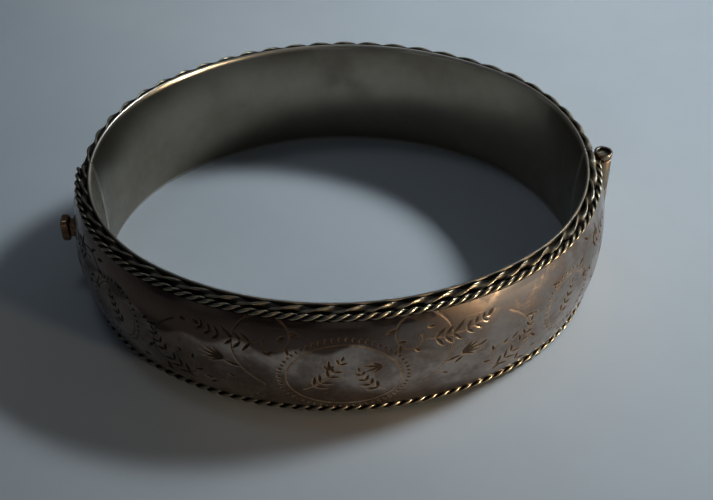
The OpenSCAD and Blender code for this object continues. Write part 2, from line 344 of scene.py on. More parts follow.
def stations(b, count, out):
    """Places along the band from 0 at the catch to 1 at the hinge, even on a curve that lies out."""
    start, stop = catch_stop(b), math.pi - sheet().seam / 2 / b.end_r
    turns = turn_at(b, np.linspace(distance_at(b, start, out), distance_at(b, stop, out), count), out)
    return (turns - start) / (stop - start)


def carried(b, part, out, up, side):
    """Carries a section's points round the band, each row from the catch to where it has to stop."""
    start, stop = catch_stop(b), hinge_stop(b, out)
    turn = start + (stop - start) * part[:, None]
    x, y = oval(b, turn, out, side)
    return np.stack(np.broadcast_arrays(x, y, up), -1), turn


# ---------- engraving, in millimetres along the band from its middle and up from mid-height ----------


def fleck(at, heading, reach, width, depth=1.0):
    """One pointed cut: start, end, half width, depth, and 1 to say that it tapers to both ends."""
    turn = math.radians(heading)
    tip = at[0] + reach * math.cos(turn), at[1] + reach * math.sin(turn)
    return [(*at, *tip, width / 2, depth, 1)]


def fan(at, heading, reach, blades, spread, width=0.4):
    """Cuts that spread from a point like the ribs of a leaf, the middle ones longest."""
    cuts = []
    for k in range(blades):
        lean = 2 * k / (blades - 1) - 1
        shorter = 1 - 0.3 * lean ** 2
        cuts += fleck(at, heading + lean * spread, reach * shorter, width, 1 - 0.25 * abs(lean))
    return cuts


def line(points, width=0.2, depth=0.42):
    """A thin line of even width through a row of points."""
    return [(*p, *q, width / 2, depth, 0) for p, q in zip(points[:-1], points[1:])]


def tick_ring(centre, half_w, half_h, count, reach):
    """Short cuts that stand outwards from an oval, with a thin line inside them."""
    cuts = []
    angles = np.radians(np.linspace(0, 360, count, endpoint=False))
    rim = np.stack([centre[0] + half_w * np.cos(angles), centre[1] + half_h * np.sin(angles)], -1)
    face = np.degrees(np.arctan2(half_w * np.sin(angles), half_h * np.cos(angles)))
    for (x, y), heading in zip(rim, face):
        cuts += fleck((x, y), heading, reach, 0.36, 0.85)
    inner = np.radians(np.linspace(0, 360, 64))
    shrink = 0.93
    return cuts + line([
        (centre[0] + shrink * half_w * math.cos(a), centre[1] + shrink * half_h * math.sin(a))
        for a in inner])


def stem(at, heading, reach, bend, steps=14):
    """Points along a stem that leaves at a heading and bends evenly, in degrees over its whole reach."""
    points, (x, y) = [at], at
    for k in range(steps):
        turn = math.radians(heading + bend * (k + 0.5) / steps)
        x, y = x + reach / steps * math.cos(turn), y + reach / steps * math.sin(turn)
        points.append((x, y))
    return points


def frond(at, heading, reach, bend, pairs, leaf=1.5, width=0.54):
    """A bent stem with pairs of leaves that grow shorter towards its tip."""
    points = stem(at, heading, reach, bend)
    cuts = line(points, 0.18, 0.4)
    for k in range(1, pairs + 1):
        place = k / (pairs + 0.5)
        x, y = points[round(place * (len(points) - 1))]
        along = heading + bend * place
        size = 1.2 * leaf * (1.15 - 0.6 * place)
        for lean in (-48, 48):
            cuts += fleck((x, y), along + lean, size, width * (1.1 - 0.4 * place))
    return cuts + fleck(points[-1], heading + bend, leaf * 0.7, width * 0.8)


def scroll(at, heading, size, hand, leaves=7):
    """A volute: a stem that curls ever tighter, with leaves on its outer side."""
    steps = 44
    points, (x, y), cuts = [at], at, []
    for k in range(steps):
        place = k / steps
        turn = math.radians(heading + hand * 470 * place ** 1.25)
        pace = size * 0.17 * (1 - 0.86 * place)
        x, y = x + pace * math.cos(turn), y + pace * math.sin(turn)
        points.append((x, y))
        if k % 5 == 3 and k < 5 * leaves:
            cuts += fleck((x, y), math.degrees(turn) - hand * 42, size * 0.42 * (1.2 - place), 0.5)
    return cuts + line(points, 0.22, 0.5)


def foliage():
    """All cuts of the front half: a ringed medallion of leaves, with scrolls and fronds to both sides."""
    e = bpy.context.scene.bangle_engraving
    w, h, low = e.medallion_w / 2 / MM, e.medallion_h / 2 / MM, -0.9
    cuts = tick_ring((0, low), w, h, e.ticks, 0.75)
    cuts += frond((-4.4, low - 1.9), 28, 6.2, 38, 5, 1.5)
    cuts += frond((4.6, low - 2.2), 158, 4.4, -52, 4, 1.3)
    cuts += fan((4.3, low + 1.7), 190, 2.6, 4, 34) + fan((-1.6, low + 1.3), 88, 1.9, 3, 36)
    for hand in (1, -1):
        # One hand's rows, of which the other hand is the mirror image.
        def facing(heading):
            return heading if hand > 0 else 180 - heading
        for x, y, heading, size, curl in (
                (8.6, -2.6, 35, 5.2, 1), (19.2, 3.9, -35, 4.4, -1), (33.6, -3.4, 30, 4.6, 1)):
            cuts += scroll((hand * x, y), facing(heading), size, hand * curl)
        for x, y, heading, reach, bend, pairs, leaf in (
                (9.0, 3.6, -12, 7.2, 34, 6, 1.5), (17.0, -4.6, 24, 7.5, 44, 6, 1.6),
                (26.5, -1.7, 40, 4.6, 30, 4, 1.2), (33.4, 4.3, -14, 6.4, 26, 5, 1.4),
                (41.6, -3.6, 70, 6.6, -36, 5, 1.3)):
            cuts += frond((hand * x, y), facing(heading), reach, hand * bend, pairs, leaf)
        for x, y, heading, reach, spread, width in (
                (12.9, 0.4, 8, 3.6, 30, 0.44), (37.4, 0.2, 4, 3.0, 24, 0.4)):
            cuts += fan((hand * x, y), facing(heading), reach, 5, spread, width)
        cuts += tick_ring((hand * 28.4, 0.1), 3.7, 3.7, 34, 0.7)
    rng = np.random.default_rng(11)
    for x in np.arange(-42, 42.1, 2.1):
        y = rng.uniform(-5.3, 5.3)
        if (x / (w + 1.2)) ** 2 + ((y - low) / (h + 1.2)) ** 2 > 1:
            at = x + rng.uniform(-0.8, 0.8), y
            cuts += fleck(at, rng.uniform(-30, 50), rng.uniform(1.0, 1.9), 0.5, 0.9)
    return cuts


def cut_depths(along, up, cuts):
    """How deep each point of a grid is cut, from 0 to 1.

    A cut has a V section: its depth times one minus the distance from its line over its half width there,
    and a tapering cut's half width follows a half sine wave along it. Where cuts cross, the deepest counts.
    along is (n, m) with rows in rising order, and up is (m,) in rising order, both in millimetres."""
    depth = np.zeros(along.shape)
    middle = along[:, along.shape[1] // 2]
    for x0, y0, x1, y1, half, deep, tapers in cuts:
        i0, i1 = np.searchsorted(middle, (min(x0, x1) - half - 0.4, max(x0, x1) + half + 0.4))
        j0, j1 = np.searchsorted(up, (min(y0, y1) - half - 0.05, max(y0, y1) + half + 0.05))
        if i0 == i1 or j0 == j1:
            continue
        x, y = along[i0:i1, j0:j1] - x0, up[None, j0:j1] - y0
        dx, dy = x1 - x0, y1 - y0
        reach = math.hypot(dx, dy)
        place = (x * dx + y * dy) / reach ** 2
        if tapers:
            aside = abs(x * dy - y * dx) / reach
            here = half * np.sin(math.pi * np.clip(place, 0, 1) ** 0.75)
        else:
            held = np.clip(place, 0, 1)
            aside = np.hypot(x - held * dx, y - held * dy)
            here = np.full(place.shape, half)
        v = deep * np.clip(1 - aside / np.maximum(here, 1e-6), 0, 1) * (here / half)
        block = depth[i0:i1, j0:j1]
        np.maximum(block, v, out=block)
    return depth


# ---------- the outer walls ----------


def add_wall(name, b, side, outer, inner, part, push, masks, notch, body, material):
    """The outer wall of a half: a closed sheet with an outer face, an inner face, edges and ends.

    outer and inner are the section's out and up rows, from bottom to top and from top to bottom. push holds
    how far each point of the outer face moves out and up. notch gives the rows and the number of stations of
    the opening that the button's stem needs, or None."""
    out = np.concatenate([outer[0], inner[0]])
    up = np.concatenate([outer[1], inner[1]])
    n, m, rows = len(part), len(out), len(outer[0])
    rings, _ = carried(b, part, out, up, side)
    if push is not None:
        moved, _ = carried(b, part, outer[0] + push[0], outer[1] + push[1], side)
        rings[:, :rows] = moved
    quads = ring_faces(n, m)
    keep = np.ones((n - 1, m), bool)
    last = [(n - 1) * m + np.arange(m)]
    if notch is None:
        extra, first = [], [np.arange(m)[::-1]]
    else:
        low, high, top, bottom, deep = notch
        keep[:deep, low:high] = False
        keep[:deep, top:bottom] = False
        i = m * np.arange(deep)
        walls = np.concatenate([
            np.stack([i + bottom, i + m + bottom, i + m + low, i + low], -1),
            np.stack([i + high, i + m + high, i + m + top, i + top], -1)])
        hole = np.concatenate([np.arange(low, high + 1), np.arange(top, bottom + 1)])
        extra = [walls, (deep * m + hole)[None, ::-1]]
        below = np.concatenate([np.arange(bottom, m), np.arange(low + 1)])
        first = [np.arange(high, top + 1)[::-1], below[::-1]]
    faces = [quads[keep], *extra, *(f[None] for f in first + last)]
    along = distance_at(b, carried(b, part, out[:1], up[:1], side)[1][:, 0], b.front_out)
    sides = np.hypot(np.diff(out, append=out[0]), np.diff(up, append=up[0]))
    around = np.concatenate([[0], np.cumsum(sides)])
    uv = ring_uv(along, around)[keep].reshape(-1, 2)
    flat = [np.stack([along[f.ravel() // m], around[f.ravel() % m]], -1) for f in faces[1:]]
    spread = {key: np.concatenate([value, np.zeros((n, m - rows))], 1) for key, value in masks.items()}
    return add_mesh(name, rings.reshape(-1, 3), faces, body, material,
                    np.concatenate([uv, *flat]) * 100, spread, 32)


def step_rows(b, low, *corners):
    """Out and up of a stepped edge, from the inner wall at a height through its corners."""
    start = (liner_out(b, low) + sheet().rim_wall + sheet().solder, low)
    return np.array([start, *corners]).T


def closed_section(b, lower, arc):
    """A section that is the same above and below: a lower edge, an arc, and the edge turned over."""
    upper = np.array([lower[0][::-1], b.height - lower[1][::-1]])
    return np.concatenate([lower, arc, upper], 1)


def rope_painted_reflection(along, up):
    """Painted dark reflection below the upper rope: a brown-dark band that stands in for the dark room which
    the dome's upper part reflects.

    Its lower edge is a sum of three waves along the band, and it thins out towards the hinge. Both arguments
    are in millimetres, from the middle of the band."""
    edge = 2.3 + sum(
        height * np.sin(along / wave + shift)
        for height, wave, shift in ((0.5, 1.05, 0), (0.45, 2.3, 1), (0.5, 5.1, 2.2)))
    band = np.clip((up - edge) / 0.6, 0, 1)
    left = np.clip((17 - along) / 16, 0, 1)
    return band * band * (3 - 2 * band) * left * 0.95


def engraved_front(b):
    """The front half's domed sheet, with its leaf cuts, soft dents and the notch for the button's stem."""
    s, e = sheet(), bpy.context.scene.bangle_engraving
    ledge_out = b.rope_out - b.rope_r - 2 * s.solder
    ledge_up = b.rope_up + b.rope_r + s.solder
    dome_out = b.rope_out + b.rope_r / 2
    count, rows = FRONT_GRID
    dome = bow(b, dome_out, b.front_out, b.mid - ledge_up, rows)
    lower = step_rows(b, b.front_low, (ledge_out, b.front_low), (ledge_out, ledge_up - SOFT_EDGE),
                      (ledge_out + SOFT_EDGE, ledge_up), (dome_out - SOFT_EDGE, ledge_up - 0.2 * SOFT_EDGE))
    outer = closed_section(b, lower, np.array(dome[:2]))
    wall = s.shell_wall
    inner_bow = bow(b, dome_out - wall * 0.82, b.front_out - wall, b.mid - ledge_up - wall, 9)
    # Two of the inner face's rows lie at the edges of the notch.
    notch_up = np.array([b.mid - s.notch_h / 2, b.mid + s.notch_h / 2])
    inner_up = np.concatenate([inner_bow[1][[0, 1, 2]], notch_up, inner_bow[1][[-3, -2, -1]]])
    inner_arc = np.array([np.interp(inner_up, inner_bow[1], inner_bow[0]), inner_up])
    inner_lower = step_rows(b, b.front_low + wall, (ledge_out - wall, b.front_low + wall),
                            (ledge_out - wall, ledge_up + wall))
    inner = closed_section(b, inner_lower, inner_arc)[:, ::-1]
    part = stations(b, count, b.front_out)

    first = lower.shape[1]
    _, turn = carried(b, part, outer[0], outer[1], FRONT)
    along = distance_at(b, turn[:, first:first + rows], b.front_out)
    middle = arc_lengths(b, b.front_out)[-1] / 2
    around = dome[2] * (b.mid - ledge_up) / math.sin(dome[2][-1])
    cuts = cut_depths((along - middle) / MM, around / MM, foliage())
    height = dents(along, around, s.dents, 3) - e.depth * cuts
    # The dents die out at the sheet's edges, where the wires hold it.
    fade = np.clip((1 - abs(around / around[-1])) * 9, 0, 1) * np.clip(part * 60, 0, 1)[:, None]
    height = np.where(cuts > 0, height, height * fade)
    push = np.zeros((2, len(part), outer.shape[1]))
    push[0, :, first:first + rows] = height * np.cos(dome[2])
    push[1, :, first:first + rows] = height * np.sin(dome[2])
    cut_mask = np.zeros(push.shape[1:])
    cut_mask[:, first:first + rows] = cuts ** 0.6
    cut_mask[:, :first] = 1
    cut_mask[:, first + rows:] = 1
    # Painted dark reflection below the upper rope, held as a mesh attribute.
    painted_reflection = np.zeros(push.shape[1:])
    painted_reflection[:, first:first + rows] = rope_painted_reflection((along - middle) / MM, around / MM)

    low = int(np.searchsorted(outer[1][first:first + rows], notch_up[0])) + first - 1
    high = int(np.searchsorted(outer[1][first:first + rows], notch_up[1])) + first
    top, bottom = (outer.shape[1] + int(np.argmin(abs(inner[1] - up))) for up in notch_up[::-1])
    deep = int(np.searchsorted(distance_at(b, turn[:, first], b.front_out), s.notch)) + 1
    wall_piece = add_wall(
        "engraved_front", b, FRONT, outer, inner, part, push, {"cut": cut_mask, "painted_reflection": painted_reflection},
        (low, high, top, bottom, deep), "front_half", engraved_silver())
    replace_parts(wall_piece, "front_shell")


def plain_back(b):
    """The back half's plain sheet, flatter than the front's, with soft dents."""
    s = sheet()
    rim_out = b.strip_out + b.strip_r
    count, rows = BACK_GRID
    wall = s.shell_wall
    dome = bow(b, rim_out, b.back_out, b.mid - b.back_low, rows)
    lower = step_rows(b, b.back_low, (rim_out - 0.1 * MM, b.back_low))
    outer = closed_section(b, lower, np.array(dome[:2]))
    inner_bow = bow(b, rim_out - wall, b.back_out - wall, b.mid - b.back_low - wall, 9)
    inner = closed_section(b, step_rows(b, b.back_low + wall), np.array(inner_bow[:2]))[:, ::-1]
    part = stations(b, count, b.back_out)
    _, turn = carried(b, part, outer[0], outer[1], BACK)
    along = distance_at(b, turn, b.back_out)
    height = dents(along, outer[1], s.dents, 5)
    angle = np.interp(outer[1], dome[1], dome[2])
    fade = np.clip((1 - abs(outer[1] / b.mid - 1)) * 6, 0, 1) * np.clip(part * 60, 0, 1)[:, None]
    edge = np.broadcast_to(np.clip((abs(outer[1] / b.mid - 1) - 0.76) * 9, 0, 1), along.shape)
    push = np.array([height * fade * np.cos(angle), height * fade * np.sin(angle)])
    piece = add_wall("plain_back", b, BACK, outer, inner, part, push, {"edge": edge}, None,
                     "back_half", plain_silver())
    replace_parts(piece, "back_shell")


# ---------- the inner walls ----------


def add_liner(b, side, name, node, body, seed):
    """An inner wall: a thin sheet that swells towards the wrist, with worn, rounded rims."""
    s = sheet()
    r = s.rim_round
    count, rows = LINER_GRID
    up = np.linspace(r, b.height - r, rows)
    inner = np.array([liner_out(b, up), up])
    outer = np.array([liner_out(b, up[::-3]) + s.rim_wall, up[::-3]])
    bend = np.radians(np.linspace(0, 90, 5))[1:-1]
    rim = b.height - r
    high = np.concatenate([
        [r - r * np.cos(bend), rim + r * np.sin(bend)],
        [[r, s.rim_wall - r], [b.height, b.height]],
        [s.rim_wall - r + r * np.sin(bend), rim + r * np.cos(bend)]], 1)
    low = np.array([high[0][::-1], b.height - high[1][::-1]])
    section = np.concatenate([inner, high, outer, low], 1)
    part = stations(b, count, 0)
    rings, turn = carried(b, part, section[0], section[1], side)
    along = distance_at(b, turn[:, 0], 0)
    wave = dents(along[:, None], up, s.dents * 0.75, seed)
    from_rims = np.clip((1 - abs(up / b.mid - 1)) * 8, 0, 1)
    from_ends = np.clip(np.minimum(part, 1 - part) * 60, 0, 1)[:, None]
    face = np.array([inner[0] + wave * (from_rims * from_ends), np.broadcast_to(up, wave.shape)])
    rings[:, :rows] = carried(b, part, face[0], face[1], side)[0]
    rims, grime_and_painted_shade = np.zeros(rings.shape[:2]), np.zeros(rings.shape[:2])
    rims[:, rows:rows + 4] = 1
    rims[:, -4:] = 1
    rims[:, [0, rows - 1]] = 1
    rims[[0, 1, -2, -1]] = 1
    grime_and_painted_shade[:, rows + 5:-5] = 1
    # Painted shade: towards the catch the front wall's inner face is darkened, standing in for the shade it
    # lies in there. The outer face, hidden behind the sheet, gets grime.
    if side == FRONT:
        grime_and_painted_shade[2:, :rows] = 1.2 * np.exp(-(along[2:, None] / (9 * MM)) ** 2)
    piece = add_tube(
        name, rings, along, body, liner_silver(), {"rim": rims, "grime_and_painted_shade": grime_and_painted_shade}, 50)
    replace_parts(piece, node)


# ---------- wires ----------


def add_strip(b, side, name, node, body, up):
    """A coarse border wire: a flat strip that is twisted along its own middle.

    Its section is a rounded rectangle, |x/w|^4 + |y/t|^4 = 1, and it turns almost evenly with the distance.
    Towards the hinge solder fills the strip, which is thicker there by a bell curve.
    Its turns show less there."""
    w = bpy.context.scene.bangle_wires
    start, stop = catch_stop(b), float(hinge_stop(b, b.strip_out + b.strip_r))
    ends = distance_at(b, np.array([start, stop]), b.strip_out)
    along = np.linspace(*ends, STRIP_GRID[0])
    turn = turn_at(b, along, b.strip_out)[:, None]
    angle = np.linspace(0, 2 * math.pi, STRIP_GRID[1], endpoint=False)
    c, d = np.cos(angle), np.sin(angle)
    norm = (abs(c) ** 4 + abs(d) ** 4) ** -0.25
    worn = np.exp(-((along - ends[1]) / (4.5 * MM)) ** 2)[:, None]
    half = b.strip_r * (1 - 0.04 * np.sin(along / (3.7 * MM)) ** 2)[:, None]
    thin = w.strip_t / 2 * (1 + 1.3 * worn)
    flat, edge = half * c * norm, thin * d * norm
    twist = (-side * 2 * math.pi * (along / w.strip_turn) + 0.4 * np.sin(along / (9 * MM)))[:, None]
    out = b.strip_out + 1.12 * (flat * np.cos(twist) - edge * np.sin(twist))
    high = up + flat * np.sin(twist) + edge * np.cos(twist)
    x, y = oval(b, turn, out, side)
    # What faces up and outwards is rubbed bright, and what faces the band keeps its grime.
    upward = 0.8 if up > b.mid else -0.8
    shown = (0.6 * (out - b.strip_out) + upward * (high - up)) / b.strip_r
    reach = np.clip(0.3 + 0.5 * shown + 0.45 * abs(c * norm) ** 6, 0, 1)
    piece = add_tube(name, np.stack([x, y, high], -1), along, body, twisted_wire(),
                     {"crest": reach}, 60)
    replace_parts(piece, node)


def add_rope(b, name, node, up):
    """A fine rope wire: two round strands that wind round each other, a half turn apart."""
    w = bpy.context.scene.bangle_wires
    start = catch_stop(b)
    stop = float(hinge_stop(b, b.rope_out + b.rope_r)) - sheet().solder / b.end_r
    along = np.linspace(*distance_at(b, np.array([start, stop]), b.rope_out), STRAND_GRID[0])
    strand_r = b.rope_r / 2
    lean = math.atan2(2 * math.pi * strand_r, w.rope_turn)
    angle = np.linspace(0, 2 * math.pi, STRAND_GRID[1], endpoint=False)
    points, crest, faces, uv = [], [], [], []
    for strand in (0, 1):
        wind = (2 * math.pi * (along / w.rope_turn + strand / 2))[:, None]
        away = strand_r * (1 + np.cos(angle))
        # The strand's own section is round across its slant, so along the rope it is drawn out.
        slide = strand_r * np.sin(angle) * math.sin(lean)
        tangent = strand_r * np.sin(angle) * math.cos(lean)
        out = b.rope_out + away * np.cos(wind) - tangent * np.sin(wind)
        high = up + away * np.sin(wind) + tangent * np.cos(wind)
        held = np.clip(along[:, None] - slide, along[0], along[-1])
        x, y = oval(b, turn_at(b, held, b.rope_out), out, FRONT)
        points.append(np.stack([x, y, high], -1).reshape(-1, 3))
        crest.append(np.broadcast_to((0.5 + 0.5 * np.cos(angle)) ** 1.2, out.shape).ravel())
        first, m = strand * out.size, len(angle)
        faces += [first + ring_faces(len(along), m).reshape(-1, 4),
                  first + np.arange(m)[None, ::-1], first + out.size - m + np.arange(m)[None]]
        round_it = np.linspace(0, 2 * math.pi * strand_r, m + 1)
        uv += [ring_uv(along, round_it).reshape(-1, 2),
               *(np.stack([np.full(m, along[end]), round_it[:m]], -1) for end in (0, -1))]
    piece = add_mesh(name, np.concatenate(points), faces, "front_half", rope_wire(),
                     np.concatenate(uv) * 100, {"crest": np.concatenate(crest)}, 80)
    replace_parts(piece, node)


# ---------- hinge, catch and button ----------


def add_lathe(name, node, rings, body, material):
    """A closed ring of sections turned about an upright axis: rings is (n, m, 3), closed both ways."""
    n, m = rings.shape[:2]
    i, j = np.meshgrid(np.arange(n), np.arange(m), indexing="ij")
    beyond, beside = (i + 1) % n, (j + 1) % m
    faces = np.stack([i * m + j, i * m + beside, beyond * m + beside, beyond * m + j], -1).reshape(-1, 4)
    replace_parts(add_mesh(name, rings.reshape(-1, 3), [faces], body, material), node)


def add_knuckle(b, node, body, side):
    """A hinge tube with rounded rims, and the web of solder that joins it to its half of the band.

    In plan it is a circle about the hinge's axis. On the quarter that faces its own half, the radius grows
    to fill the room that the band's end leaves for the hinge."""
    s = sheet()
    low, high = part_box(node)
    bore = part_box("hinge_pin")
    bore_r = (bore[1].x - bore[0].x) / 2 + PIN_PLAY
    angle = np.linspace(0, 2 * math.pi, TUBE_SIDES, endpoint=False)[:, None]
    across, back = np.cos(angle), np.sin(angle) * side
    web_r = b.barrel_r + s.hinge_play - s.solder
    in_web = (across < 0) & (back > 0) & (web_r * back > s.seam / 2)
    outer_r = np.where(in_web, web_r, b.barrel_r)
    tall = high.z - low.z
    bend = np.radians([0, 30, 60, 90])
    inset = np.broadcast_to(SOFT_EDGE * (1 - np.cos(bend)), (TUBE_SIDES, len(bend)))
    rise = SOFT_EDGE * np.sin(bend)
    # Up the outside, over the top rim, down the bore and under the bottom rim.
    radius = np.concatenate([
        outer_r - inset[:, ::-1], outer_r - inset, bore_r + inset[:, ::-1], bore_r + inset], 1)
    height = np.concatenate([SOFT_EDGE - rise[::-1], tall - SOFT_EDGE + rise,
                             tall - SOFT_EDGE + rise[::-1], SOFT_EDGE - rise])
    x = b.hinge_x + radius * across
    y = radius * np.sin(angle)
    rings = np.stack(np.broadcast_arrays(x, y, low.z + height), -1)
    add_lathe(node + "_tube", node, rings, body, hinge_silver())


def add_pin(b):
    """The hinge pin: a rod whose filed ends are a little hollow and rounded at their rims."""
    low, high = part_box("hinge_pin")
    r, h = (high.x - low.x) / 2, high.z - low.z
    reach = np.array([0.0, 0.3, 0.6, 0.82, 0.93, 1.0, 1.0]) * r
    dip = np.array([0.08, 0.07, 0.04, 0.01, 0.015, 0.07, 0.12]) * MM
    radius = np.concatenate([reach, reach[::-1]])
    height = np.concatenate([dip, h - dip[::-1]])
    radius, height = radius[1:-1], height[1:-1]
    angle = np.linspace(0, 2 * math.pi, PIN_SIDES, endpoint=False)
    rings = np.stack(np.broadcast_arrays(
        b.hinge_x + radius[:, None] * np.cos(angle), radius[:, None] * np.sin(angle),
        low.z + height[:, None]), -1)
    along = np.concatenate([[0], np.cumsum(np.hypot(np.diff(radius), np.diff(height)))])
    piece = add_tube("pin_rod", rings, along, "back_half", inner_silver(), None, 50)
    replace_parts(piece, "hinge_pin")


def add_button():
    """The thumb button: a cushion, |x|^p + |y|^p + |z|^p = 1, whose outer face is worn slightly hollow."""
    low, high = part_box("thumb_button")
    centre, half = (low + high) / 2, (high - low) / 2
    bands, sides = BUTTON_GRID
    lat = np.linspace(-math.pi / 2, math.pi / 2, bands + 2)[1:-1, None]
    lon = np.linspace(0, 2 * math.pi, sides, endpoint=False)[None]
    x, y, z = np.cos(lat) * np.cos(lon), np.cos(lat) * np.sin(lon), np.sin(lat) * np.ones_like(lon)
    power = 5.0
    norm = (abs(x) ** power + abs(y) ** power + abs(z) ** power) ** (-1 / power)
    x, y, z = x * norm, y * norm, z * norm
    worn = np.clip(1 - 0.55 * (y ** 2 + z ** 2), 0, 1) * (x < -0.6)
    rings = np.stack([
        centre.x + half.x * (x + 0.07 * worn), centre.y + half.y * y, centre.z + half.z * z], -1)
    along = np.linspace(0, 2 * half.z, len(lat))
    piece = add_tube(
        "button_cushion", rings, along, "press_leaf", button_silver(), None, 60)
    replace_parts(piece, "thumb_button")


# ---------- materials ----------


def feed(tree, socket, value):
    """Links a socket to another one, or gives it a plain value."""
    if isinstance(value, bpy.types.NodeSocket):
        tree.links.new(value, socket)
    else:
        socket.default_value = value


def node_in(tree, kind, **inputs):
    """Adds a node and feeds its inputs, each named by its label, or by _ and its number."""
    node = tree.nodes.new(kind)
    for name, value in inputs.items():
        feed(tree, node.inputs[int(name[1:]) if name[0] == "_" else name.replace("_", " ")], value)
    return node


def math_in(tree, operation, *values):
    """One step of arithmetic."""
    node = node_in(tree, "ShaderNodeMath", **{f"_{k}": v for k, v in enumerate(values)})
    node.operation = operation
    return node.outputs[0]


def ramp_in(tree, value, low, high, to_low=0.0, to_high=1.0):
    """Maps a value from one range to another, clamped, with a smooth start and end."""
    node = node_in(tree, "ShaderNodeMapRange", _0=value, _1=low, _2=high, _3=to_low, _4=to_high)
    node.interpolation_type = "SMOOTHSTEP"
    return node.outputs[0]


def noise_in(tree, vector, scale, detail=3.0, rough=0.55):
    """Cloudy noise from 0 to 1."""
    node = node_in(tree, "ShaderNodeTexNoise", Vector=vector, Scale=scale, Detail=detail, Roughness=rough)
    return node.outputs[0]


def mix_in(tree, factor, a, b):
    """Mixes two colours."""
    node = tree.nodes.new("ShaderNodeMix")
    node.data_type = "RGBA"
    for number, value in ((0, factor), (6, a), (7, b)):
        feed(tree, node.inputs[number], value)
    return node.outputs[2]


def stretch_in(tree, vector, scale, turn=0.0):
    """Turns and stretches a pattern's coordinates."""
    spin = (0, 0, math.radians(turn))
    return node_in(tree, "ShaderNodeMapping", Vector=vector, Scale=scale, Rotation=spin).outputs[0]


def group(name, inputs, outputs, fill):
    """A shader node group with named inputs and outputs, built once and then shared."""
    if name in bpy.data.node_groups:
        return bpy.data.node_groups[name]
    tree = bpy.data.node_groups.new(name, "ShaderNodeTree")
    for label, kind, default in inputs:
        socket = tree.interface.new_socket(name=label, in_out="INPUT", socket_type="NodeSocket" + kind)
        if default is not None:
            socket.default_value = default
    for label, kind in outputs:
        tree.interface.new_socket(name=label, in_out="OUTPUT", socket_type="NodeSocket" + kind)
    start, end = tree.nodes.new("NodeGroupInput"), tree.nodes.new("NodeGroupOutput")
    for label, socket in fill(tree, start.outputs).items():
        tree.links.new(socket, end.inputs[label])
    lay_out(tree)
    return tree


def use_group(tree, source, **inputs):
    """Places a shared node group in a tree and feeds its named inputs."""
    node = tree.nodes.new("ShaderNodeGroup")
    node.node_tree = source
    for name, value in inputs.items():
        feed(tree, node.inputs[name], value)
    return node.outputs


def lay_out(tree):
    """Spreads the nodes of a tree over columns, so that it can be read in the editor."""
    for k, node in enumerate(tree.nodes):
        node.location = (220 * (k // 4), -260 * (k % 4))


def tarnish_clouds():
    """Patches of tarnish: broad noise, broken up by finer noise, with a clear middle and soft edges."""
    def fill(tree, given):
        broad = noise_in(tree, given["Vector"], given["Scale"], 4.0, 0.6)
        fine = noise_in(tree, given["Vector"], math_in(tree, "MULTIPLY", given["Scale"], 6.3), 3.0, 0.6)
        both = math_in(tree, "ADD", math_in(tree, "MULTIPLY", broad, 0.78),
                       math_in(tree, "MULTIPLY", fine, 0.22))
        low = math_in(tree, "SUBTRACT", given["Level"], given["Softness"])
        high = math_in(tree, "ADD", given["Level"], given["Softness"])
        return {"Mask": ramp_in(tree, both, low, high)}
    return group("Tarnish clouds", [("Vector", "Vector", None), ("Scale", "Float", 300.0),
                                    ("Level", "Float", 0.5), ("Softness", "Float", 0.12)],
                 [("Mask", "Float")], fill)


def hairlines():
    """Fine scratches: noise drawn out along one direction and kept only at its crests, laid twice."""
    def fill(tree, given):
        marks = None
        for turn, narrow in ((7, 90.0), (-24, 70.0), (64, 80.0)):
            drawn = stretch_in(tree, given["Vector"], (1.0, narrow, 1.0), turn)
            thread = ramp_in(tree, noise_in(tree, drawn, given["Scale"], 2.0, 0.7), 0.60, 0.72)
            marks = thread if marks is None else math_in(tree, "MAXIMUM", marks, thread)
        where = ramp_in(tree, noise_in(tree, given["Vector"], given["Scale"], 2.0), 0.35, 0.65)
        return {"Mask": math_in(tree, "MULTIPLY", marks, where)}
    return group("Hairlines", [("Vector", "Vector", None), ("Scale", "Float", 1.5)],
                 [("Mask", "Float")], fill)


def settled_grime():
    """Dark deposit that has settled where a mask is high, uneven and thinner where it has been rubbed."""
    def fill(tree, given):
        uneven = ramp_in(tree, noise_in(tree, given["Vector"], given["Scale"], 4.0), 0.3, 0.7, 0.8, 1.1)
        held = math_in(tree, "MULTIPLY", given["Hollow"], uneven)
        settled = math_in(tree, "MULTIPLY", held, given["Amount"])
        return {"Mask": ramp_in(tree, settled, 0.04, 0.55)}
    return group("Settled grime", [("Hollow", "Float", 0.0), ("Vector", "Vector", None),
                                   ("Scale", "Float", 900.0), ("Amount", "Float", 1.0)],
                 [("Mask", "Float")], fill)


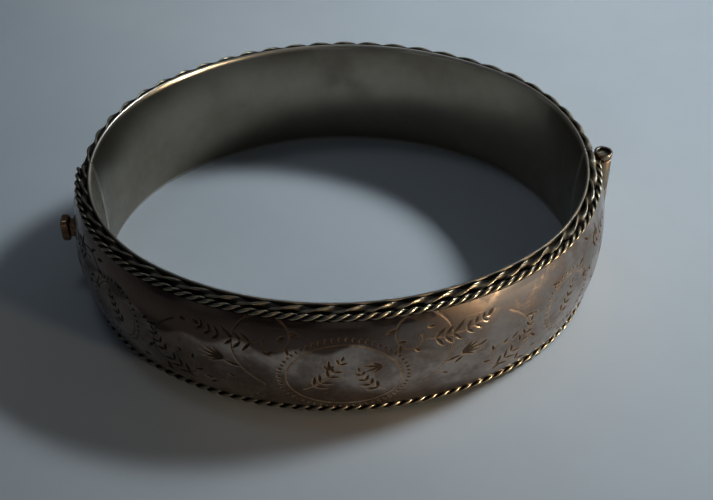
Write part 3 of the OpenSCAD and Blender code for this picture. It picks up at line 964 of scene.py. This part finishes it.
def silver_look(name, bright, film, level, shine, cover=0.8, hollow=None, hollow_amount=0.9, scratches=0.5,
                grain=0.25, cloud_scale=260.0, softness=0.12, surface=True, polish=None, painted_reflection=None):
    """A worn silver: bright metal under clouds of a film of tarnish, grime in its hollows, and scratches.

    bright and film are its colours, level says how much of it the film spares, and shine gives its lowest
    and highest roughness. Three arguments name attributes of the mesh: hollow says where grime settles, and
    on the front inner wall also where painted shade lies; polish where handling keeps it bright; and the
    last where a painted dark reflection lies."""
    if name in bpy.data.materials:
        return bpy.data.materials[name]
    f = finish()
    material = bpy.data.materials.new(name)
    material.use_nodes = True
    tree = material.node_tree
    tree.nodes.clear()
    coords = tree.nodes.new("ShaderNodeTexCoord").outputs
    place = coords["Object"]
    scratch_place = coords["UV"] if surface else stretch_in(tree, place, (100.0, 100.0, 100.0))
    clouds = use_group(tree, tarnish_clouds(), Vector=place, Scale=cloud_scale, Level=level,
                       Softness=softness)["Mask"]
    lines = use_group(tree, hairlines(), Vector=scratch_place, Scale=1.6)["Mask"]
    film_mask = math_in(tree, "MULTIPLY", clouds, cover)
    if polish:
        rubbed = node_attribute(tree, polish)
        film_mask = math_in(tree, "MULTIPLY", film_mask, math_in(tree, "SUBTRACT", 1.0, rubbed))
    tint = mix_in(tree, film_mask, (*bright, 1), (*film, 1))
    if polish:
        tint = mix_in(tree, rubbed, tint, (*f.rubbed, 1))
    # Painted dark reflection: where this mask is high the colour turns to a brown-dark band that stands in
    # for the dark room reflected in the dome.
    if painted_reflection:
        tint = mix_in(tree, node_attribute(tree, painted_reflection), tint, (*f.deep, 1))
    tint = mix_in(tree, math_in(tree, "MULTIPLY", lines, 0.35 * scratches), tint, (*f.silver, 1))
    rough = math_in(tree, "ADD", ramp_in(tree, clouds, 0, 1, *shine),
                    math_in(tree, "MULTIPLY", lines, 0.12 * scratches))
    metal = 1.0
    if hollow:
        deep = node_attribute(tree, hollow)
        if hollow == "crest":
            deep = ramp_in(tree, deep, 0.2, 0.8, 1.0, 0.0)
        # Dark deposit in the hollows; on the front inner wall this darkening is partly painted shade.
        grime = use_group(tree, settled_grime(), Hollow=deep, Vector=place, Scale=900.0,
                          Amount=hollow_amount)["Mask"]
        tint = mix_in(tree, grime, tint, (*f.patina, 1))
        rough = math_in(tree, "ADD", rough, math_in(tree, "MULTIPLY", grime, 0.35))
        metal = math_in(tree, "SUBTRACT", 1.0, grime)
    pits = noise_in(tree, place, 2600.0, 3.0)
    height = math_in(tree, "SUBTRACT", math_in(tree, "MULTIPLY", pits, grain),
                     math_in(tree, "MULTIPLY", lines, scratches))
    bump = node_in(tree, "ShaderNodeBump", Strength=0.5, Distance=0.006 * MM, Height=height)
    shader = node_in(tree, "ShaderNodeBsdfPrincipled", Base_Color=tint, Roughness=rough,
                     Metallic=metal, Normal=bump.outputs[0], Specular_IOR_Level=0.15)
    output = tree.nodes.new("ShaderNodeOutputMaterial")
    tree.links.new(shader.outputs[0], output.inputs[0])
    lay_out(tree)
    return material


def node_attribute(tree, name):
    """The value that a piece's mesh holds under a name."""
    node = tree.nodes.new("ShaderNodeAttribute")
    node.attribute_name = name
    return node.outputs["Fac"]


def engraved_silver():
    f = finish()
    # Its last attribute paints a dark reflection below the upper rope.
    return silver_look("engraved_silver_look", f.silver, f.tarnish, 0.5, (0.13, 0.24), cover=0.85,
                       hollow="cut", hollow_amount=1.0, scratches=0.6, painted_reflection="painted_reflection")


def plain_silver():
    f = finish()
    return silver_look("plain_silver_look", f.silver, f.tarnish, 0.52, (0.15, 0.28), cover=0.8,
                       hollow="edge", hollow_amount=0.6, scratches=0.8)


def liner_silver():
    f = finish()
    # Its grime mask also holds painted shade on the front wall's inner face near the catch.
    return silver_look("liner_silver_look", f.olive, f.tarnish, 0.56, (0.3, 0.4), cover=0.42,
                       hollow="grime_and_painted_shade", hollow_amount=0.3, scratches=0.7, softness=0.2,
                       cloud_scale=130.0, polish="rim")


def twisted_wire():
    f = finish()
    return silver_look("twisted_wire_look", f.wire, f.tarnish, 0.52, (0.3, 0.45), cover=0.6, hollow="crest",
                       hollow_amount=0.9, scratches=0.3, cloud_scale=500.0)


def rope_wire():
    f = finish()
    return silver_look("rope_wire_look", f.wire, f.tarnish, 0.52, (0.28, 0.42), cover=0.6, hollow="crest",
                       hollow_amount=1.0, scratches=0.2, cloud_scale=500.0)


def hinge_silver():
    f = finish()
    return silver_look("hinge_silver_look", f.wire, f.tarnish, 0.45, (0.2, 0.36), cover=0.85, surface=False,
                       cloud_scale=700.0)


def inner_silver():
    f = finish()
    return silver_look("inner_silver_look", f.olive, f.patina, 0.5, (0.32, 0.5), cover=0.6, surface=False,
                       cloud_scale=500.0, grain=0.6)


def button_silver():
    f = finish()
    return silver_look("button_silver_look", f.copper, f.patina, 0.55, (0.26, 0.42), cover=0.55,
                       surface=False, cloud_scale=900.0, grain=0.4)


def floor_paper():
    """Pale, matt paper with a very faint mottling and tooth."""
    material = bpy.data.materials.new("floor_paper")
    material.use_nodes = True
    tree = material.node_tree
    tree.nodes.clear()
    place = tree.nodes.new("ShaderNodeTexCoord").outputs["Object"]
    base = bpy.context.scene.bangle_stage.floor
    mottled = ramp_in(tree, noise_in(tree, place, 60.0, 4.0), 0.3, 0.7)
    tint = mix_in(tree, mottled, (*base, 1), (*(0.96 * c for c in base), 1))
    tooth = noise_in(tree, place, 1800.0, 4.0)
    bump = node_in(tree, "ShaderNodeBump", Strength=0.2, Distance=0.03 * MM, Height=tooth)
    shader = node_in(tree, "ShaderNodeBsdfPrincipled", Base_Color=tint, Roughness=0.75,
                     Normal=bump.outputs[0])
    output = tree.nodes.new("ShaderNodeOutputMaterial")
    tree.links.new(shader.outputs[0], output.inputs[0])
    return material


def dress(nodes, material):
    """Gives CAD nodes that are shown as they are a better material."""
    for name in nodes:
        mesh = frame["nodes"][name].data
        mesh.materials.clear()
        mesh.materials.append(material)


# ---------- operators ----------


class BANGLE_OT_engraved_front(Operator):
    """Builds the front half's engraved, domed sheet"""
    bl_idname = "bangle.engraved_front"
    bl_label = "Engraved front"

    def execute(self, context):
        engraved_front(read_band())
        return {"FINISHED"}


class BANGLE_OT_plain_back(Operator):
    """Builds the back half's plain sheet"""
    bl_idname = "bangle.plain_back"
    bl_label = "Plain back"

    def execute(self, context):
        plain_back(read_band())
        return {"FINISHED"}


class BANGLE_OT_liners(Operator):
    """Builds the two inner walls"""
    bl_idname = "bangle.liners"
    bl_label = "Inner walls"

    def execute(self, context):
        b = read_band()
        add_liner(b, FRONT, "liner_of_front", "front_liner", "front_half", 8)
        add_liner(b, BACK, "liner_of_back", "back_liner", "back_half", 13)
        return {"FINISHED"}


class BANGLE_OT_twisted_strips(Operator):
    """Builds the four coarse border wires from twisted strip"""
    bl_idname = "bangle.twisted_strips"
    bl_label = "Twisted strips"

    def execute(self, context):
        b = read_band()
        for side, half in ((FRONT, "front"), (BACK, "back")):
            for edge, up in (("bottom", b.strip_r), ("top", b.height - b.strip_r)):
                add_strip(b, side, f"{half}_{edge}_strip", f"{half}_{edge}_twist", f"{half}_half", up)
        return {"FINISHED"}


class BANGLE_OT_ropes(Operator):
    """Builds the front half's two fine rope wires"""
    bl_idname = "bangle.ropes"
    bl_label = "Rope wires"

    def execute(self, context):
        b = read_band()
        add_rope(b, "bottom_rope_strands", "front_bottom_rope", b.rope_up)
        add_rope(b, "top_rope_strands", "front_top_rope", b.height - b.rope_up)
        return {"FINISHED"}


class BANGLE_OT_hinge(Operator):
    """Builds the hinge's tubes and its pin"""
    bl_idname = "bangle.hinge"
    bl_label = "Hinge"

    def execute(self, context):
        b = read_band()
        for name in ("front_knuckle_upper", "front_knuckle_lower"):
            add_knuckle(b, name, "front_half", FRONT)
        for name in ("back_knuckle_top", "back_knuckle_middle", "back_knuckle_bottom"):
            add_knuckle(b, name, "back_half", BACK)
        add_pin(b)
        return {"FINISHED"}


class BANGLE_OT_catch(Operator):
    """Finishes the pieces of the catch and builds its thumb button"""
    bl_idname = "bangle.catch"
    bl_label = "Catch and button"

    def execute(self, context):
        dress(("front_hinge_end_plate", "front_catch_mouth_plate", "catch_box", "back_hinge_end_plate",
               "back_catch_end_plate", "tongue_blade", "spring_leaf"), inner_silver())
        dress(("button_stem",), button_silver())
        add_button()
        return {"FINISHED"}


class BANGLE_OT_stage(Operator):
    """Builds the floor, the lights and the camera"""
    bl_idname = "bangle.stage"
    bl_label = "Stage"

    def execute(self, context):
        floor_and_world()
        lights()
        camera()
        return {"FINISHED"}


def floor_and_world():
    """A wide, flat floor at the height that the bangle rests on, in a dim room."""
    reach = 1.5
    mesh = bpy.data.meshes.new("floor")
    corners = ((-1, -1), (1, -1), (1, 1), (-1, 1))
    mesh.from_pydata([(x * reach, y * reach, 0) for x, y in corners], [], [(0, 1, 2, 3)])
    mesh.materials.append(floor_paper())
    floor = bpy.data.objects.new("floor", mesh)
    bpy.context.scene.collection.objects.link(floor)
    world = bpy.data.worlds.new("dim_room")
    world.use_nodes = True
    world.node_tree.nodes["Background"].inputs["Color"].default_value = (0.55, 0.62, 0.72, 1)
    world.node_tree.nodes["Background"].inputs["Strength"].default_value = 0.06
    bpy.context.scene.world = world
    bpy.context.scene.view_settings.view_transform = "Standard"


def area_light(name, place, aim, width, height, power, tint, spread=180):
    """A lit rectangle that looks from its place at its aim, spreading its light by an angle in degrees."""
    light = bpy.data.lights.new(name, "AREA")
    light.shape, light.size, light.size_y = "RECTANGLE", width, height
    light.energy, light.color = power, tint
    light.spread = math.radians(spread)
    lamp = bpy.data.objects.new(name, light)
    lamp.location = place
    lamp.rotation_euler = (Vector(aim) - Vector(place)).to_track_quat("-Z", "Y").to_euler()
    bpy.context.scene.collection.objects.link(lamp)


def lights():
    """A soft window at the right, a dim sky behind it, a low warm lamp, and a weak fill from above."""
    area_light("sky", (0.34, 0.56, 0.50), (0.02, 0, 0), 0.46, 0.34, 0.15, (0.86, 0.95, 1.0))
    area_light("window", (0.45, 0.23, 0.36), (0.122, 0.070, 0), 0.22, 0.22, 0.17, (0.86, 0.95, 1.0), 18)
    area_light("lamp", (0.37, -0.24, 0.013), (0.02, -0.022, 0.011), 0.12, 0.016, 0.026, (1.0, 0.78, 0.50), 9)
    area_light("ceiling", (-0.12, 0.16, 0.60), (-0.02, 0.05, 0), 0.22, 0.22, 0.006, (0.78, 0.90, 1.0), 20)


def camera():
    """Looks from the camera's place at its aim, rolled about its line of sight."""
    s = bpy.context.scene.bangle_stage
    lens = bpy.data.cameras.new("camera")
    lens.lens, lens.sensor_width = s.lens, 36
    lens.shift_x, lens.shift_y = s.shift_x, s.shift_y
    lens.clip_start, lens.clip_end = 0.01, 10
    eye = bpy.data.objects.new("camera", lens)
    look = (Vector(s.camera_aim) - Vector(s.camera_at)).to_track_quat("-Z", "Y").to_matrix().to_4x4()
    eye.matrix_world = Matrix.Translation(s.camera_at) @ look @ Matrix.Rotation(s.camera_roll, 4, "Z")
    bpy.context.scene.collection.objects.link(eye)
    bpy.context.scene.camera = eye


STEPS = (BANGLE_OT_engraved_front, BANGLE_OT_plain_back, BANGLE_OT_liners, BANGLE_OT_twisted_strips,
         BANGLE_OT_ropes, BANGLE_OT_hinge, BANGLE_OT_catch, BANGLE_OT_stage)
SETTINGS = {"bangle_sheet": BangleSheet, "bangle_wires": BangleWires, "bangle_engraving": BangleEngraving,
            "bangle_finish": BangleFinish, "bangle_stage": BangleStage}


class BANGLE_PT_panel(Panel):
    bl_label = "Hinged bangle"
    bl_idname = "BANGLE_PT_panel"
    bl_space_type = "VIEW_3D"
    bl_region_type = "UI"
    bl_category = "Bangle"

    def draw(self, context):
        for step in STEPS:
            self.layout.operator(step.bl_idname)
        for name, kind in SETTINGS.items():
            box = self.layout.box()
            for key in kind.__annotations__:
                box.prop(getattr(context.scene, name), key)


def register():
    for kind in (*SETTINGS.values(), *STEPS, BANGLE_PT_panel):
        bpy.utils.register_class(kind)
    for name, kind in SETTINGS.items():
        setattr(bpy.types.Scene, name, PointerProperty(type=kind))


def unregister():
    for name in SETTINGS:
        delattr(bpy.types.Scene, name)
    for kind in (BANGLE_PT_panel, *reversed(STEPS), *reversed(SETTINGS.values())):
        bpy.utils.unregister_class(kind)


def main():
    """Builds every piece and the stage in order."""
    register()
    for step in STEPS:
        group_name, name = step.bl_idname.split(".")
        getattr(getattr(bpy.ops, group_name), name)()


if __name__ == "__main__":
    main()
